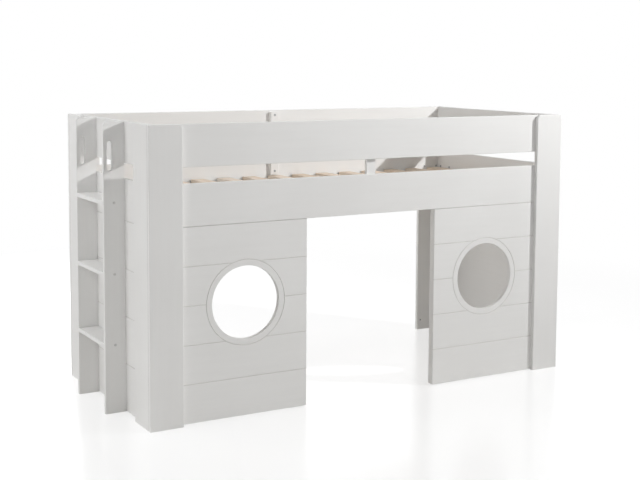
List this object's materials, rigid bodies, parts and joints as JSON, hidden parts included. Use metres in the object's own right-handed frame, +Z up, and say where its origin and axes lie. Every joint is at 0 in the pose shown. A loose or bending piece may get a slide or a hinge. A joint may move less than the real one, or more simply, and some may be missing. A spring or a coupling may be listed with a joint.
{
  "type": "play bed",
  "caption": "Raised child's bed over a play space, with guard boards, a ladder on one end, a slatted base and a doorway between panels with round portholes.",
  "frame": {"origin": "on the floor, under the middle of the whole outline with the ladder", "axes": "+X to the right and +Y to the back seen from the side with the doorway, +Z up"},
  "size_m": [2.153, 0.982, 1.214],
  "materials": {
    "white_lacquer": "satin white lacquer",
    "slat_wood": "planed, bare",
    "tape": "woven webbing",
    "bolt_steel": "satin"
  },
  "bodies": {
    "root": {"doorway_batten_left": "white_lacquer", "doorway_batten_right": "white_lacquer", "front_centre_batten": "white_lacquer", "front_guard_board": "white_lacquer", "front_left_panel": "white_lacquer", "front_right_panel": "white_lacquer", "front_side_rail": "white_lacquer", "front_slat_ledger": "white_lacquer", "front_slat_tape": "tape", "ladder_stile_front": "white_lacquer", "ladder_stile_rear": "white_lacquer", "ladder_tread_lower": "white_lacquer", "ladder_tread_middle": "white_lacquer", "ladder_tread_upper": "white_lacquer", "left_end_panel": "white_lacquer", "left_end_rail": "white_lacquer", "left_guard_board": "white_lacquer", "post_front_left_face": "white_lacquer", "post_front_left_side": "white_lacquer", "post_front_right_face": "white_lacquer", "post_front_right_side": "white_lacquer", "post_rear_left_face": "white_lacquer", "post_rear_left_side": "white_lacquer", "post_rear_right_face": "white_lacquer", "post_rear_right_side": "white_lacquer", "rear_centre_batten": "white_lacquer", "rear_guard_board": "white_lacquer", "rear_side_rail": "white_lacquer", "rear_slat_ledger": "white_lacquer", "rear_slat_tape": "tape", "right_end_panel": "white_lacquer", "right_end_rail": "white_lacquer", "right_guard_board": "white_lacquer", "slat_01": "slat_wood", "slat_02": "slat_wood", "slat_03": "slat_wood", "slat_04": "slat_wood", "slat_05": "slat_wood", "slat_06": "slat_wood", "slat_07": "slat_wood", "slat_08": "slat_wood", "slat_09": "slat_wood", "slat_10": "slat_wood", "slat_11": "slat_wood", "slat_12": "slat_wood", "slat_13": "slat_wood", "slat_14": "slat_wood", "slat_15": "slat_wood", "tread_bolts": "bolt_steel"}
  },
  "joints": []
}
